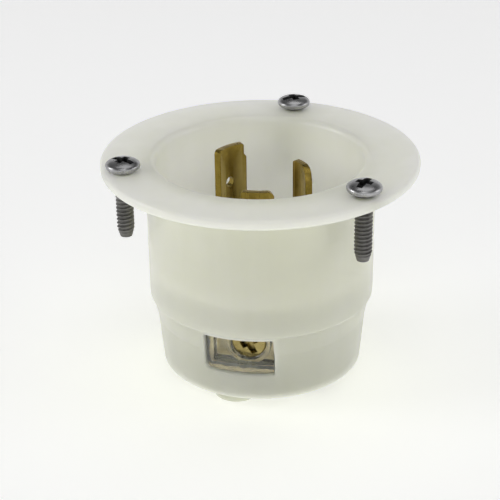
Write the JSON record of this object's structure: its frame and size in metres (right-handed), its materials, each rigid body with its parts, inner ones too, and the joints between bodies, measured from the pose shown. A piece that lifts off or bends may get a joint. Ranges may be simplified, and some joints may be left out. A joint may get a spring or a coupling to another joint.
{
  "type": "flanged locking power inlet",
  "caption": "Round flange-mounted generator inlet: nylon cup with arc-shaped locking blades, side-access clamp terminals behind windows, rear wire collars and panel screws.",
  "frame": {"origin": "on the axis of the flange, in the plane of the three wire collars' ends, where the part stands on its rear", "axes": "+Z out of the mouth of the cup, along the inlet's axis; the pictured window faces -Y"},
  "size_m": [0.0636, 0.0636, 0.0493],
  "materials": {
    "housing_nylon": "moulded natural nylon, slightly translucent, satin gloss",
    "core_nylon": "moulded nylon, matt",
    "brass": "stamped and tumbled brass",
    "nickel": "nickel plated",
    "green_plated": "green dyed plating",
    "screw_steel": "zinc plated steel",
    "clear_polycarbonate": "clear, polished"
  },
  "bodies": {
    "housing": {"housing": "housing_nylon", "terminal_core": "core_nylon", "rear_cover": "housing_nylon", "line_blade": "brass", "neutral_blade": "brass", "ground_blade": "brass", "line_screw_retainer": "clear_polycarbonate", "neutral_screw_retainer": "clear_polycarbonate", "ground_screw_retainer": "clear_polycarbonate", "assembly_screw_1": "nickel", "assembly_screw_2": "nickel", "assembly_screw_3": "nickel"},
    "line_screw": {"line_terminal_screw": "brass"},
    "line_clamp": {"line_clamp_plate": "brass"},
    "neutral_screw": {"neutral_terminal_screw": "nickel"},
    "neutral_clamp": {"neutral_clamp_plate": "brass"},
    "ground_screw": {"ground_terminal_screw": "green_plated"},
    "ground_clamp": {"ground_clamp_plate": "brass"},
    "mounting_screw_1": {"mounting_screw_1": "screw_steel"},
    "mounting_screw_2": {"mounting_screw_2": "screw_steel"},
    "mounting_screw_3": {"mounting_screw_3": "screw_steel"}
  },
  "joints": [
    {"name": "line_screw_turn", "type": "hinge", "parent": "housing", "child": "line_screw", "pos_m": [-0.00261, -0.01797, 0.0143], "axis": [0.225, 0.9744, 0], "range_deg": [0, 900]},
    {"name": "line_clamp_travel", "type": "slide", "parent": "housing", "child": "line_clamp", "axis": [-0.225, -0.9744, 0], "range_m": [0, 0.00198]},
    {"name": "neutral_screw_turn", "type": "hinge", "parent": "housing", "child": "neutral_screw", "pos_m": [0.01687, 0.00673, 0.0143], "axis": [-0.9563, -0.2924, 0], "range_deg": [0, 900]},
    {"name": "neutral_clamp_travel", "type": "slide", "parent": "housing", "child": "neutral_clamp", "axis": [0.9563, 0.2924, 0], "range_m": [0, 0.00198]},
    {"name": "ground_screw_turn", "type": "hinge", "parent": "housing", "child": "ground_screw", "pos_m": [-0.01426, 0.01125, 0.0143], "axis": [0.7314, -0.682, 0], "range_deg": [0, 900]},
    {"name": "ground_clamp_travel", "type": "slide", "parent": "housing", "child": "ground_clamp", "axis": [-0.7314, 0.682, 0], "range_m": [0, 0.00198]},
    {"name": "mounting_screw_1_turn", "type": "hinge", "parent": "housing", "child": "mounting_screw_1", "pos_m": [0.01938, -0.01965, 0.0468], "axis": [0, 0, -1], "continuous": true},
    {"name": "mounting_screw_2_turn", "type": "hinge", "parent": "housing", "child": "mounting_screw_2", "pos_m": [0.00733, 0.02661, 0.0468], "axis": [0, 0, -1], "continuous": true},
    {"name": "mounting_screw_3_turn", "type": "hinge", "parent": "housing", "child": "mounting_screw_3", "pos_m": [-0.02671, -0.00696, 0.0468], "axis": [0, 0, -1], "continuous": true}
  ],
  "couplings": [
    {"joint": "line_screw_turn", "follows": "line_clamp_travel", "rad_per_m": 7915.8},
    {"joint": "neutral_screw_turn", "follows": "neutral_clamp_travel", "rad_per_m": 7915.8},
    {"joint": "ground_screw_turn", "follows": "ground_clamp_travel", "rad_per_m": 7915.8}
  ]
}
